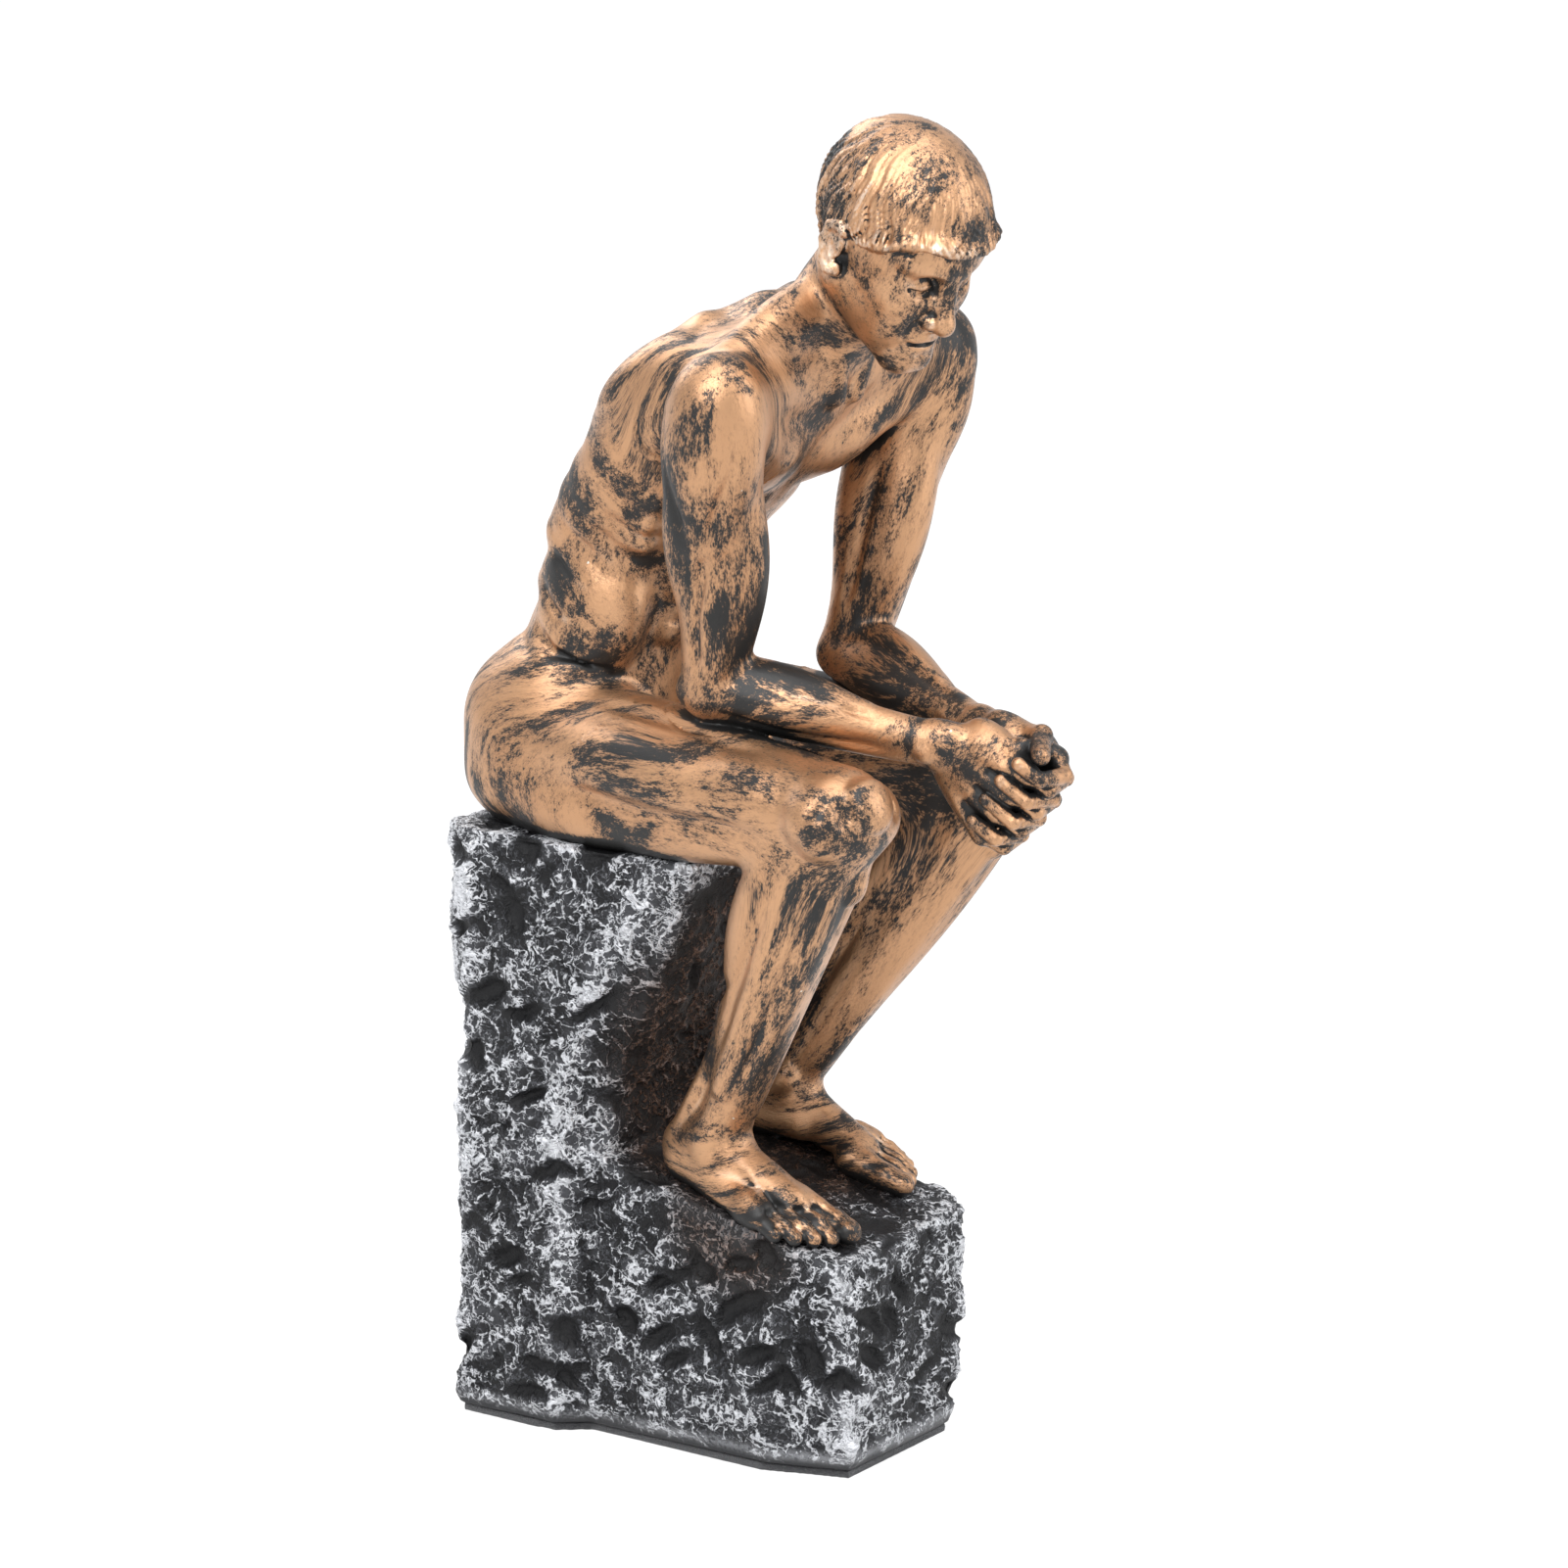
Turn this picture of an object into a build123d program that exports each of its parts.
from build123d import *
from math import cos, radians, sin, sqrt, tan
import os

# A seated figure in thought on a rough rock: a painted cold-cast resin ornament, cast in
# sections that are pinned and glued together over a hollow, weighted rock.
# Frame: +X is the way the figure faces, +Y its left hand side, +Z up. The origin is the
# centre of the rock's footprint, on the surface that the felt stands on. Millimetres.

# Sides of the body
RIGHT, LEFT = -1, 1
SIDES = {"right": RIGHT, "left": LEFT}

# Rock
seat_height = 118.0
seat_depth = 60.0
seat_margin = 2.0
rock_width = 60.0
rock_wall = 8.0
seat_slab = 15.0
ledge_height = 52.0
ledge_slope = 13.0
ledge_slab = 12.0
toe_margin = 3.0
heel_gap = 2.5
plinth_front_width = 50.0
plinth_overlap = 16.0

# Underside
plate_thickness = 3.0
plate_rim = 4.0
plate_gap = 0.15
felt_thickness = 1.5
felt_inset = 2.0
ballast_height = 22.0
ballast_gap = 0.2

# Legs
hip_rise = 15.0
hip_half_spread = 15.0
thigh_length = 73.0
shank_length = 79.0
knee_splay = 10.0
thigh_root_radius = 16.0
thigh_radius = 14.0
knee_radius = 10.8
calf_radius = 10.4
calf_set_back = 2.0
ankle_radius = 5.8

# Feet
right_foot_reach = 34.0
left_foot_reach = 28.0
foot_half_spread = 15.5
ankle_rise = 10.5
foot_length = 43.0
heel_length = 10.5
heel_width = 11.0
ball_width = 16.5
instep_height = 12.5
toe_height = 4.5
foot_corner = 2.0
toe_out = 7.0

# Trunk
trunk_length = 92.0
trunk_lean = 32.0
spine_bow = 12.5
pelvis_half_width = 28.0
pelvis_half_depth = 18.5
waist_half_width = 21.5
waist_half_depth = 15.5
chest_half_width = 26.5
chest_half_depth = 18.0
collar_half_width = 17.0
collar_half_depth = 10.5

# Arms
shoulder_half_spread = 34.0
shoulder_drop = 4.0
shoulder_forward = 1.5
shoulder_radius = 10.8
girdle_radius = 11.5
upper_arm_radius = 8.6
elbow_radius = 6.9
forearm_radius = 7.2
wrist_radius = 4.5
elbow_sink = 1.2
wrist_reach = 10.0
wrist_half_spread = 6.6
wrist_rise = 11.0

# Hands
palm_length = 15.0
palm_half_width = 7.6
palm_half_thickness = 3.2
hand_droop = 38.0
finger_radius = 1.45
finger_pitch = 2.6
finger_reach = 4.0
finger_wrap = 9.0
finger_bend = 2.2
thumb_radius = 1.9
thumb_length = 12.0

# Head and neck
neck_length = 23.0
neck_lean = 38.0
neck_radius = 9.6
head_height = 41.0
head_half_width = 13.4
head_half_depth = 16.8
head_nod = 30.0
head_turn = -12.0
head_seat_rise = 13.0
head_seat_forward = 5.0
nose_length = 8.0
nose_radius = 2.3
ear_height = 9.0
ear_width = 5.0
ear_stand = 1.6

# Pins
pin_fit = 0.05
pin_end_gap = 0.3
pin_chamfer = 0.3
neck_pin_radius, neck_pin_length = 1.5, 18.0
shoulder_pin_radius, shoulder_pin_length = 1.5, 14.0
hip_pin_radius, hip_pin_length = 2.0, 20.0
wrist_pin_radius, wrist_pin_length = 1.0, 12.0
seat_pin_radius, seat_pin_length = 2.5, 22.0
seat_pin_half_spread = 10.0
foot_pin_radius, foot_pin_length = 1.5, 13.0

# Pieces whose curved sides meet stay this far apart; their flat joint faces touch.
joint_gap = 0.3
# A cut reaches this far past the solid that it cuts.
overrun = 200.0

# Corners of the rock's outline, as shares of its half length and half width. Each level
# of the block has its own, so that its sides are uneven like broken stone.
footing_shares = [
    (-1, -0.72), (-0.82, -1), (0.5, -0.98), (1, -0.74), (1, 0.7), (0.7, 1), (-0.72, 1), (-1, 0.8),
]
middle_shares = [
    (-1, -0.8), (-0.7, -1), (0.62, -1), (1, -0.82), (0.97, 0.76), (0.76, 1), (-0.8, 0.97), (-0.97, 0.7),
]
top_shares = [
    (-0.97, -0.84), (-0.84, -1), (0.74, -0.97), (1, -0.88), (1, 0.86), (0.84, 1), (-0.86, 0.98), (-1, 0.86),
]
# Levels of the tower under the heels' top and over it, each a share of that stretch's height,
# then its back edge and half width as shares of the plain block's.
lower_tower_shares = [(0.5, 0.985, 0.97, middle_shares), (1, 0.95, 0.94, footing_shares)]
upper_tower_shares = [(0.5, 0.975, 0.965, middle_shares), (1, 0.99, 1, top_shares)]
# Height and size of the plinth's levels, as shares of the ledge's height at the heels.
plinth_level_shares = [(0.45, 1, middle_shares), (1.5, 0.985, top_shares)]

# The elbows rest on the thighs, a little past half way to the knees.
elbow_rest_share = 0.56
# Place of each joint plane, as a share of the way along the bone that it cuts, and the
# direction that it faces, as shares forward, outward and up.
neck_joint_share = 0.62
shoulder_inset_share = 0.8
shoulder_tilt_shares = (0.3, 0.75, -0.6)
hip_joint_share = 0.2
hip_tilt_shares = (0.8, 0.15, -0.58)

# Limbs, feet, trunk, neck and head: places along the form, then sizes, all as shares.
joint_fill_share = 0.94
thigh_shares = (0, 0.35, 0.75, 1)
shank_shares = (0, 0.3, 0.62, 1)
upper_arm_shares = (0, 0.35, 0.72, 1)
forearm_shares = (0, 0.3, 0.66, 1)
trunk_shares = (-0.2, 0.1, 0.4, 0.72, 0.92, 1.03)
girdle_middle_share = 0.5
neck_shares = (-0.3, 0.5, 1)
nose_root_share = 0.5
finger_row_shares = {RIGHT: 0.5, LEFT: 1.5}
# Place along the foot, then width and height as shares of the way from heel to ball and
# from toes to instep.
foot_stations = [
    (0, 0, 0.45), (0.1, 0.1, 0.75), (0.3, 0.3, 1), (0.55, 0.75, 0.62), (0.8, 1, 0.2), (1, 0.62, 0),
]
# Places up the head, then the middle's place forward and the half sizes.
head_shares = [
    (-1, 0.36, 0.3, 0.3), (-0.8, 0.28, 0.6, 0.58), (-0.42, 0.12, 0.82, 0.82), (0.02, 0.02, 0.97, 0.97),
    (0.4, -0.04, 1, 1), (0.75, -0.05, 0.76, 0.78), (0.93, -0.05, 0.44, 0.46), (1, -0.05, 0.16, 0.17),
]

def heading(lean, turn=0.0):
    """Unit vector that leans a number of degrees forward of straight up, then turns about Z."""
    lean, turn = radians(lean), radians(turn)
    return Vector(sin(lean) * cos(turn), sin(lean) * sin(turn), cos(lean))


def bend(start, end, first_length, second_length, towards):
    """The joint of two bones that span from start to end and bend towards a direction."""
    span = end - start
    along = span.normalized()
    share = (first_length**2 - second_length**2 + span.length**2) / (2 * span.length)
    outward = (towards - along * along.dot(towards)).normalized()
    return start + along * share + outward * sqrt(first_length**2 - share**2)


def square_to(origin, along, across):
    """Plane across a bone, whose X direction lies as near to a given direction as it can."""
    along = along.normalized()
    return Plane(origin=origin, x_dir=across - along * along.dot(across), z_dir=along)


def blended(sections):
    """Smooth form through oval sections, each a plane and its two half sizes."""
    with BuildPart() as form:
        for plane, half_x, half_y in sections:
            with BuildSketch(plane):
                Ellipse(half_x, half_y) if half_x != half_y else Circle(half_x)
        loft()
    return form.part


def tapered(start, end, stations):
    """Round form along a bone. Each station is a share of the bone's length and a radius."""
    along = end - start
    planes = [Plane(origin=start + along * share, z_dir=along) for share, _ in stations]
    return blended([(plane, radius, radius) for plane, (_, radius) in zip(planes, stations)])


def ball(centre, radius):
    with BuildPart() as form:
        with Locations(centre):
            Sphere(radius)
    return form.part


def beyond(shape, plane, keep=Keep.TOP):
    """The part of a shape on one side of a plane. Keep.TOP is the side that its normal points to."""
    with BuildPart() as form:
        add(shape)
        split(bisect_by=plane, keep=keep)
    return form.part


# Skeleton. The rock's length follows from the figure on it, and the origin is its middle.
toe_reach = foot_length - heel_length
rock_length = right_foot_reach + toe_reach + toe_margin + pelvis_half_depth + seat_margin
rock_back, rock_front = -rock_length / 2, rock_length / 2
hip_x = rock_back + seat_margin + pelvis_half_depth
seat_front = rock_back + seat_depth
pelvis = Vector(hip_x, 0, seat_height + hip_rise)

ledge_normal = heading(ledge_slope)
ledge_forward = heading(ledge_slope + 90)
ledge_origin = Vector(hip_x + right_foot_reach, 0, ledge_height)
ledge = Plane(origin=ledge_origin, x_dir=ledge_forward, z_dir=ledge_normal)
foot_reach = {RIGHT: right_foot_reach, LEFT: left_foot_reach}


def on_ledge(side, forward=0.0, rise=0.0):
    """Point at a foot: so far in front of its ankle along the ledge, and so far above the ledge."""
    along = (foot_reach[side] - right_foot_reach) / cos(radians(ledge_slope))
    out = Vector(0, side * sin(radians(toe_out)), 0) + ledge_forward * cos(radians(toe_out))
    under_ankle = ledge_origin + ledge_forward * along + Vector(0, side * foot_half_spread, 0)
    return under_ankle + out * forward + ledge_normal * rise


heel_top = max(on_ledge(side, -heel_length, instep_height).Z for side in (RIGHT, LEFT))
hip = {side: pelvis + Vector(0, side * hip_half_spread, 0) for side in (RIGHT, LEFT)}
ankle = {side: on_ledge(side, rise=ankle_rise) for side in (RIGHT, LEFT)}
knee = {
    side: bend(
        hip[side], ankle[side], thigh_length, shank_length, Vector(1, side * tan(radians(knee_splay)), 0)
    )
    for side in (RIGHT, LEFT)
}

collar = pelvis + heading(trunk_lean) * trunk_length
spine_pull = (pelvis + collar) / 2 - heading(trunk_lean + 90) * (2 * spine_bow)
shoulder = {
    side: collar + Vector(shoulder_forward, side * shoulder_half_spread, -shoulder_drop)
    for side in (RIGHT, LEFT)
}


def spine(share):
    """Point on the trunk's bowed centre line, from the pelvis at 0 to the collar at 1."""
    return pelvis * (1 - share) ** 2 + spine_pull * (2 * share * (1 - share)) + collar * share**2


def spine_heading(share):
    return ((spine_pull - pelvis) * (1 - share) + (collar - spine_pull) * share).normalized()


elbow, wrist = {}, {}
for side in (RIGHT, LEFT):
    thigh = knee[side] - hip[side]
    thigh_top = (Vector(0, 0, 1) - thigh.normalized() * thigh.normalized().Z).normalized()
    thigh_there = thigh_radius + (knee_radius - thigh_radius) * elbow_rest_share / 2
    elbow[side] = hip[side] + thigh * elbow_rest_share + thigh_top * (thigh_there + elbow_radius - elbow_sink)
    wrist[side] = Vector(knee[side].X + wrist_reach, side * wrist_half_spread, knee[RIGHT].Z + wrist_rise)

nape = collar - spine_heading(1) * neck_radius / 2
skull_base = nape + heading(neck_lean, head_turn / 2) * neck_length
crown_up = heading(head_nod, head_turn)
face_forward = heading(head_nod + 90, head_turn)
head_centre = skull_base + crown_up * head_seat_rise + face_forward * head_seat_forward

# Joint planes. Each normal points away from the trunk.
neck_plane = Plane(origin=nape + (skull_base - nape) * neck_joint_share, z_dir=skull_base - nape)
shoulder_plane, hip_plane, wrist_plane = {}, {}, {}
for side in (RIGHT, LEFT):
    out, over, up = shoulder_tilt_shares
    inset = Vector(0, side * shoulder_half_spread * (1 - shoulder_inset_share), 0)
    shoulder_plane[side] = Plane(origin=shoulder[side] - inset, z_dir=(out, side * over, up))
    out, over, up = hip_tilt_shares
    hip_centre = hip[side] + (knee[side] - hip[side]) * hip_joint_share
    hip_plane[side] = Plane(origin=hip_centre, z_dir=(out, side * over, up))
    wrist_plane[side] = square_to(wrist[side], wrist[side] - elbow[side], Vector(0, 0, 1))

# Pins: the plane at a pin's middle, square to it, then its radius and length.
pins = {"neck_pin": (neck_plane, neck_pin_radius, neck_pin_length)}
for name, side in SIDES.items():
    shoulder_axis = Plane(origin=shoulder_plane[side].origin, z_dir=(0, side, 0))
    hip_axis = Plane(origin=hip_plane[side].origin, z_dir=knee[side] - hip[side])
    seat_spot = Location((hip_x - hip_rise / 2, side * seat_pin_half_spread, 0))
    seat_axis = Plane.XY.offset(seat_height).move(seat_spot)
    foot_axis = Plane(origin=on_ledge(side), z_dir=ledge_normal)
    pins[f"{name}_shoulder_pin"] = (shoulder_axis, shoulder_pin_radius, shoulder_pin_length)
    pins[f"{name}_wrist_pin"] = (wrist_plane[side], wrist_pin_radius, wrist_pin_length)
    pins[f"{name}_hip_pin"] = (hip_axis, hip_pin_radius, hip_pin_length)
    pins[f"{name}_seat_pin"] = (seat_axis, seat_pin_radius, seat_pin_length)
    pins[f"{name}_foot_pin"] = (foot_axis, foot_pin_radius, foot_pin_length)


def drilled(shape, names):
    """A shape with the holes of the named pins."""
    with BuildPart() as form:
        add(shape)
        for name in names:
            plane, radius, length = pins[name]
            with Locations(plane):
                Cylinder(radius + pin_fit, length + 2 * pin_end_gap, mode=Mode.SUBTRACT)
    return form.part


# Shapes of the limbs. Grown by the joint gap, a limb's shape cuts the room for it in its
# neighbours.
def foot_shape(side, grown=0.0):
    with BuildPart() as foot:
        for share, width_share, height_share in foot_stations:
            forward = foot_length * share - heel_length
            width = heel_width + (ball_width - heel_width) * width_share + 2 * grown
            height = toe_height + (instep_height - toe_height) * height_share + grown
            across = Vector(0, cos(radians(toe_out)), 0) - ledge_forward * (side * sin(radians(toe_out)))
            along = across.cross(ledge_normal)
            station = Plane(origin=on_ledge(side, forward), x_dir=across, z_dir=along)
            with BuildSketch(station):
                RectangleRounded(width, 2 * height, foot_corner)
        loft()
        split(bisect_by=ledge, keep=Keep.TOP)
    return foot.part


def leg_shape(side, grown=0.0):
    """Thigh, knee and shank, down into the foot."""
    knee_end = knee_radius * joint_fill_share
    lower_thigh = (thigh_radius + knee_radius) / 2
    thigh_radii = (thigh_root_radius * joint_fill_share, thigh_radius, lower_thigh, knee_end)
    shank_radii = (knee_end, calf_radius, (calf_radius + ankle_radius) / 2, ankle_radius)
    shank = ankle[side] - knee[side]
    behind = shank.cross(Vector(0, -1, 0)).normalized() * calf_set_back
    across = Vector(0, 1, 0)
    shank_centres = [knee[side] + shank * share for share in shank_shares]
    shank_centres[1] = shank_centres[1] + behind
    thigh = tapered(hip[side], knee[side], [(s, r + grown) for s, r in zip(thigh_shares, thigh_radii)])
    shin_planes = [square_to(centre, shank, across) for centre in shank_centres]
    shin = blended([(plane, r + grown, r + grown) for plane, r in zip(shin_planes, shank_radii)])
    with BuildPart() as leg:
        add(ball(hip[side], thigh_root_radius + grown))
        add(thigh)
        add(ball(knee[side], knee_radius + grown))
        add(shin)
        add(ball(ankle[side], ankle_radius / joint_fill_share + grown))
    return leg.part


def arm_shape(side, grown=0.0):
    """Shoulder, upper arm, elbow and forearm, ending square at the wrist."""
    elbow_end = elbow_radius * joint_fill_share
    shoulder_end = shoulder_radius * joint_fill_share
    upper_radii = (shoulder_end, (shoulder_radius + upper_arm_radius) / 2, upper_arm_radius, elbow_end)
    fore_radii = (elbow_end, forearm_radius, (forearm_radius + wrist_radius) / 2, wrist_radius)
    upper_stations = [(share, radius + grown) for share, radius in zip(upper_arm_shares, upper_radii)]
    fore_stations = [(share, radius + grown) for share, radius in zip(forearm_shares, fore_radii)]
    upper = tapered(shoulder[side], elbow[side], upper_stations)
    fore = tapered(elbow[side], wrist[side], fore_stations)
    with BuildPart() as arm:
        add(ball(shoulder[side], shoulder_radius + grown))
        add(upper)
        add(ball(elbow[side], elbow_radius + grown))
        add(fore)
    return arm.part


def rock_level(height, back, front, half_width, shares, inset=0.0):
    """One rough outline of the rock, as a face at its height."""
    middle, reach = (back + front) / 2, (front - back) / 2 - inset
    with BuildSketch(Plane.XY.offset(height)) as level:
        Polygon(*[(middle + reach * x, (half_width - inset) * y) for x, y in shares], align=None)
    return level.sketch


def tower_front(height):
    """The tower's undercut front edge: at the seat's front above, and clear of the heels below."""
    heel_back = min(on_ledge(side, -heel_length).X for side in (RIGHT, LEFT)) - heel_gap
    rise = max(height - heel_top, 0) / (seat_height - heel_top)
    return heel_back + (seat_front - heel_back) * rise


def rock_shape(inset=0.0, seat_top=seat_height, ledge_drop=0.0):
    """Tower and plinth. With an inset and a lowered top it is the hollow inside them."""
    half_width = rock_width / 2
    front_half_width = plinth_front_width / 2
    tower = [rock_level(felt_thickness, rock_back, tower_front(0), half_width, footing_shares, inset)]
    levels = [(heel_top * share, *rest) for share, *rest in lower_tower_shares]
    levels += [(heel_top + (seat_top - heel_top) * share, *rest) for share, *rest in upper_tower_shares]
    for height, back_share, width_share, shares in levels:
        outline = (rock_back * back_share, tower_front(height), half_width * width_share, shares)
        tower.append(rock_level(height, *outline, inset))
    plinth_back = tower_front(0) - plinth_overlap - 2 * inset
    plinth = [rock_level(felt_thickness, plinth_back, rock_front, front_half_width, footing_shares, inset)]
    for height_share, size_share, shares in plinth_level_shares:
        outline = (plinth_back, rock_front * size_share, front_half_width * size_share, shares)
        plinth.append(rock_level(ledge_height * height_share, *outline, inset))
    with BuildPart() as front:
        loft(plinth, ruled=True)
        split(bisect_by=ledge.offset(-ledge_drop), keep=Keep.BOTTOM)
    with BuildPart() as rock:
        loft(tower, ruled=True)
        add(front.part)
    return rock.part


def footprint(inset):
    """The rock's outline where it stands, drawn in by an inset."""
    tower = rock_level(0, rock_back, tower_front(0), rock_width / 2, footing_shares)
    plinth_back = tower_front(0) - plinth_overlap
    plinth = rock_level(0, plinth_back, rock_front, plinth_front_width / 2, footing_shares)
    with BuildSketch() as outline:
        add(tower)
        add(plinth)
        offset(amount=-inset, kind=Kind.INTERSECTION)
    return outline.sketch


os.makedirs("parts", exist_ok=True)

# Rock: a hollow casting, open below, with a rebate for the plate that closes it.
plate_top = felt_thickness + plate_thickness
hollow = rock_shape(rock_wall, seat_height - seat_slab, ledge_slab)
seat_pins = [f"{name}_seat_pin" for name in SIDES]
foot_pins = [f"{name}_foot_pin" for name in SIDES]
with BuildPart() as rock_base:
    add(drilled(rock_shape(), seat_pins + foot_pins))
    add(hollow, mode=Mode.SUBTRACT)
    with BuildSketch(Plane.XY.offset(felt_thickness)):
        add(footprint(plate_rim))
    extrude(amount=plate_thickness, mode=Mode.SUBTRACT)
rock_base.part.label = "rock_base"
export_step(rock_base.part, "parts/rock_base.step")

# Base plate: closes the hollow, flush with the rock's lower edge.
with BuildPart() as base_plate:
    with BuildSketch(Plane.XY.offset(felt_thickness)):
        add(footprint(plate_rim + plate_gap))
    extrude(amount=plate_thickness)
base_plate.part.label = "base_plate"
export_step(base_plate.part, "parts/base_plate.step")

# Felt pad: glued under the plate and the rock's lower edge.
with BuildPart() as felt_pad:
    with BuildSketch():
        add(footprint(felt_inset))
    extrude(amount=felt_thickness)
felt_pad.part.label = "felt_pad"
export_step(felt_pad.part, "parts/felt_pad.step")

# Ballast: a mineral-filled block on the plate, which keeps the tall figure steady.
with BuildPart() as ballast_block:
    add(rock_shape(rock_wall + ballast_gap, seat_height - seat_slab, ledge_slab))
    split(bisect_by=Plane.XY.offset(plate_top), keep=Keep.TOP)
    split(bisect_by=Plane.XY.offset(plate_top + ballast_height), keep=Keep.BOTTOM)
ballast_block.part.label = "ballast_block"
export_step(ballast_block.part, "parts/ballast_block.step")

# Legs: each seated on the rock, cut off at the hip, with its sole flat on the ledge.
leg_cutters = {side: beyond(leg_shape(side, joint_gap), hip_plane[side]) for side in (RIGHT, LEFT)}
for name, side in SIDES.items():
    with BuildPart() as leg:
        add(beyond(leg_shape(side), hip_plane[side]))
        with Locations((seat_front, 0, seat_height)):
            Box(overrun, overrun, hip_rise, align=(Align.MAX, Align.CENTER, Align.MAX), mode=Mode.SUBTRACT)
        split(bisect_by=ledge, keep=Keep.TOP)
        add(foot_shape(side))
    finished_leg = drilled(leg.part, [f"{name}_hip_pin", f"{name}_foot_pin"])
    finished_leg.label = f"{name}_leg"
    export_step(finished_leg, f"parts/{name}_leg.step")

# Torso: pelvis to collar with the shoulder girdle and the lower neck.
trunk_half_sizes = [
    (pelvis_half_width, pelvis_half_depth),
    (pelvis_half_width, pelvis_half_depth),
    (waist_half_width, waist_half_depth),
    (chest_half_width, chest_half_depth),
    ((chest_half_width + collar_half_width) / 2, (chest_half_depth + collar_half_depth) / 2),
    (collar_half_width, collar_half_depth),
]
across = Vector(0, 1, 0)
trunk_planes = [square_to(spine(share), spine_heading(share), across) for share in trunk_shares]
trunk = blended([(plane, *half_sizes) for plane, half_sizes in zip(trunk_planes, trunk_half_sizes)])
girdle = tapered(
    shoulder[RIGHT], shoulder[LEFT],
    [(0, shoulder_radius * joint_fill_share), (girdle_middle_share, girdle_radius),
     (1, shoulder_radius * joint_fill_share)],
)
neck = tapered(nape, skull_base, [(share, neck_radius) for share in neck_shares])
for side in (RIGHT, LEFT):
    girdle = beyond(girdle, shoulder_plane[side], Keep.BOTTOM)
arm_cutters = {side: beyond(arm_shape(side, joint_gap), shoulder_plane[side]) for side in (RIGHT, LEFT)}
with BuildPart() as torso_form:
    add(trunk)
    split(bisect_by=Plane.XY.offset(seat_height), keep=Keep.TOP)
    add(girdle)
    add(beyond(neck, neck_plane, Keep.BOTTOM))
    for side in (RIGHT, LEFT):
        add(leg_cutters[side], mode=Mode.SUBTRACT)
        add(arm_cutters[side], mode=Mode.SUBTRACT)
shoulder_pins = [f"{name}_shoulder_pin" for name in SIDES]
hip_pins = [f"{name}_hip_pin" for name in SIDES]
torso = drilled(torso_form.part, ["neck_pin", *shoulder_pins, *hip_pins, *seat_pins])
torso.label = "torso"
export_step(torso, "parts/torso.step")

# Arms: each lies on its thigh, in a hollow of the thigh's own shape.
for name, side in SIDES.items():
    with BuildPart() as arm:
        add(beyond(arm_shape(side), shoulder_plane[side]))
        add(leg_shape(side, joint_gap), mode=Mode.SUBTRACT)
    finished_arm = drilled(arm.part, [f"{name}_shoulder_pin", f"{name}_wrist_pin"])
    finished_arm.label = f"{name}_arm"
    export_step(finished_arm, f"parts/{name}_arm.step")

# Hands: palms together, each hand's fingers between the other's and over its back.
hand_along = heading(90 + hand_droop)
hand_up = heading(hand_droop)


def in_hand(side, along, out, up):
    """Point in a hand's own directions: along it from the wrist, out from between the palms, and up."""
    middle = Vector(wrist[side].X, 0, wrist[side].Z)
    return middle + hand_along * along + Vector(0, side * out, 0) + hand_up * up


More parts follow.
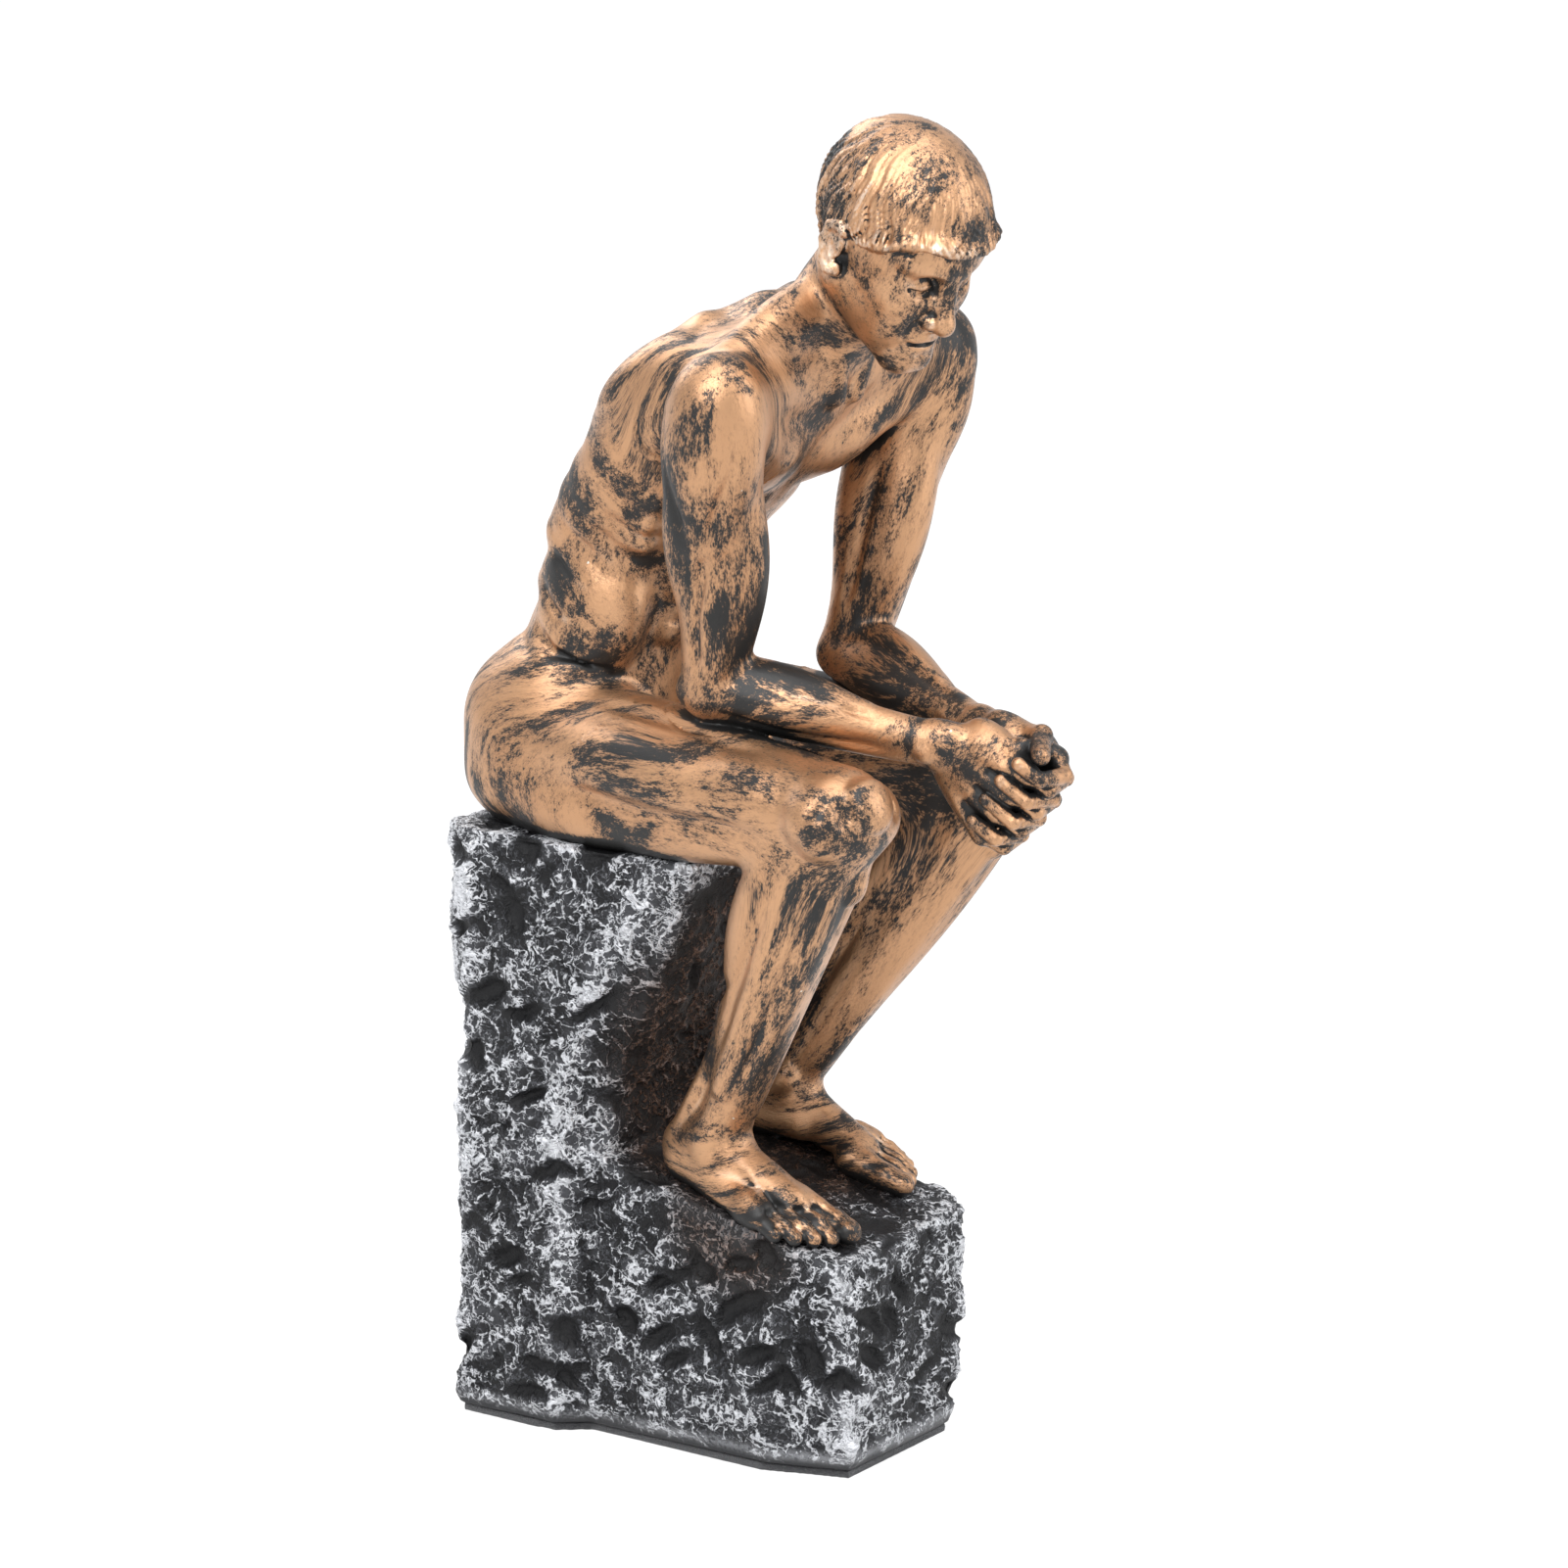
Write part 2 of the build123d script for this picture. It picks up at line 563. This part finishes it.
palm_rest = palm_half_thickness * joint_fill_share
finger_rows = range(4)
with BuildPart() as clasped_hands_form:
    for side in (RIGHT, LEFT):
        palm_centre = in_hand(side, palm_length / 2, (wrist_half_spread + palm_rest) / 2, 0)
        palm_middle = square_to(palm_centre, hand_along, hand_up)
        palm_end = square_to(in_hand(side, palm_length, palm_rest, 0), hand_along, hand_up)
        add(blended([
            (square_to(wrist[side], wrist_plane[side].z_dir, hand_up), wrist_radius,
             wrist_radius * joint_fill_share),
            (palm_middle, palm_half_width, palm_half_thickness),
            (palm_end, palm_half_width, palm_half_thickness),
        ]))
        thumb_root = in_hand(side, palm_length / 3, wrist_half_spread * joint_fill_share, palm_half_width / 2)
        thumb_tip = thumb_root + Vector(0, -side * wrist_half_spread, 0) + hand_up * palm_half_width / 2
        thumb_tip += hand_along * thumb_length
        add(tapered(thumb_root, thumb_tip, [(0, thumb_radius), (1, thumb_radius * joint_fill_share)]))
        for row in finger_rows:
            up = finger_pitch * (2 * (row - len(finger_rows) / 2) + finger_row_shares[side])
            over = palm_rest + palm_half_thickness
            with BuildPart() as finger:
                with BuildLine() as path:
                    FilletPolyline(
                        in_hand(side, palm_length - finger_reach, palm_rest, up),
                        in_hand(side, palm_length + finger_reach, palm_rest, up),
                        in_hand(side, palm_length + finger_reach, -over, up),
                        in_hand(side, palm_length + finger_reach - finger_wrap, -over, up),
                        radius=finger_bend,
                    )
                with BuildSketch(Plane(origin=path.line @ 0, z_dir=path.line % 0)):
                    Circle(finger_radius)
                sweep()
            add(finger.part)
clasped_hands = drilled(clasped_hands_form.part, [f"{name}_wrist_pin" for name in SIDES])
clasped_hands.label = "clasped_hands"
export_step(clasped_hands, "parts/clasped_hands.step")

# Head: an oval skull with a plain nose and ears, and the upper neck.
across = crown_up.cross(face_forward)


def in_head(up, forward, out=0.0):
    return head_centre + crown_up * up + face_forward * forward + across * out


with BuildPart() as head_form:
    skull_sections = []
    for up_share, forward_share, width_share, depth_share in head_shares:
        middle = in_head(head_height / 2 * up_share, head_half_depth * forward_share)
        skull_sections.append((square_to(middle, crown_up, face_forward), head_half_depth * depth_share,
                               head_half_width * width_share))
    add(blended(skull_sections))
    add(neck)
    nose_top = in_head(nose_radius, head_half_depth - nose_radius)
    nose_tip = nose_top - crown_up * nose_length + face_forward * nose_radius
    add(tapered(nose_top, nose_tip, [(0, nose_radius * nose_root_share), (1, nose_radius)]))
    for side in (RIGHT, LEFT):
        root = square_to(in_head(0, 0, side * (head_half_width - 2 * ear_stand)), across * side, crown_up)
        rim = root.offset(3 * ear_stand)
        add(blended([(root, ear_height / 2, ear_width / 2), (rim, ear_height / 2, ear_width / 2)]))
    split(bisect_by=neck_plane, keep=Keep.TOP)
head = drilled(head_form.part, ["neck_pin"])
head.label = "head"
export_step(head, "parts/head.step")

# Pins that hold the sections together, in the figure, the seat and the ledge.
for name, (plane, radius, length) in pins.items():
    with BuildPart() as pin:
        with Locations(plane):
            Cylinder(radius, length)
        chamfer(pin.edges().filter_by(GeomType.CIRCLE), pin_chamfer)
    pin.part.label = name
    export_step(pin.part, f"parts/{name}.step")
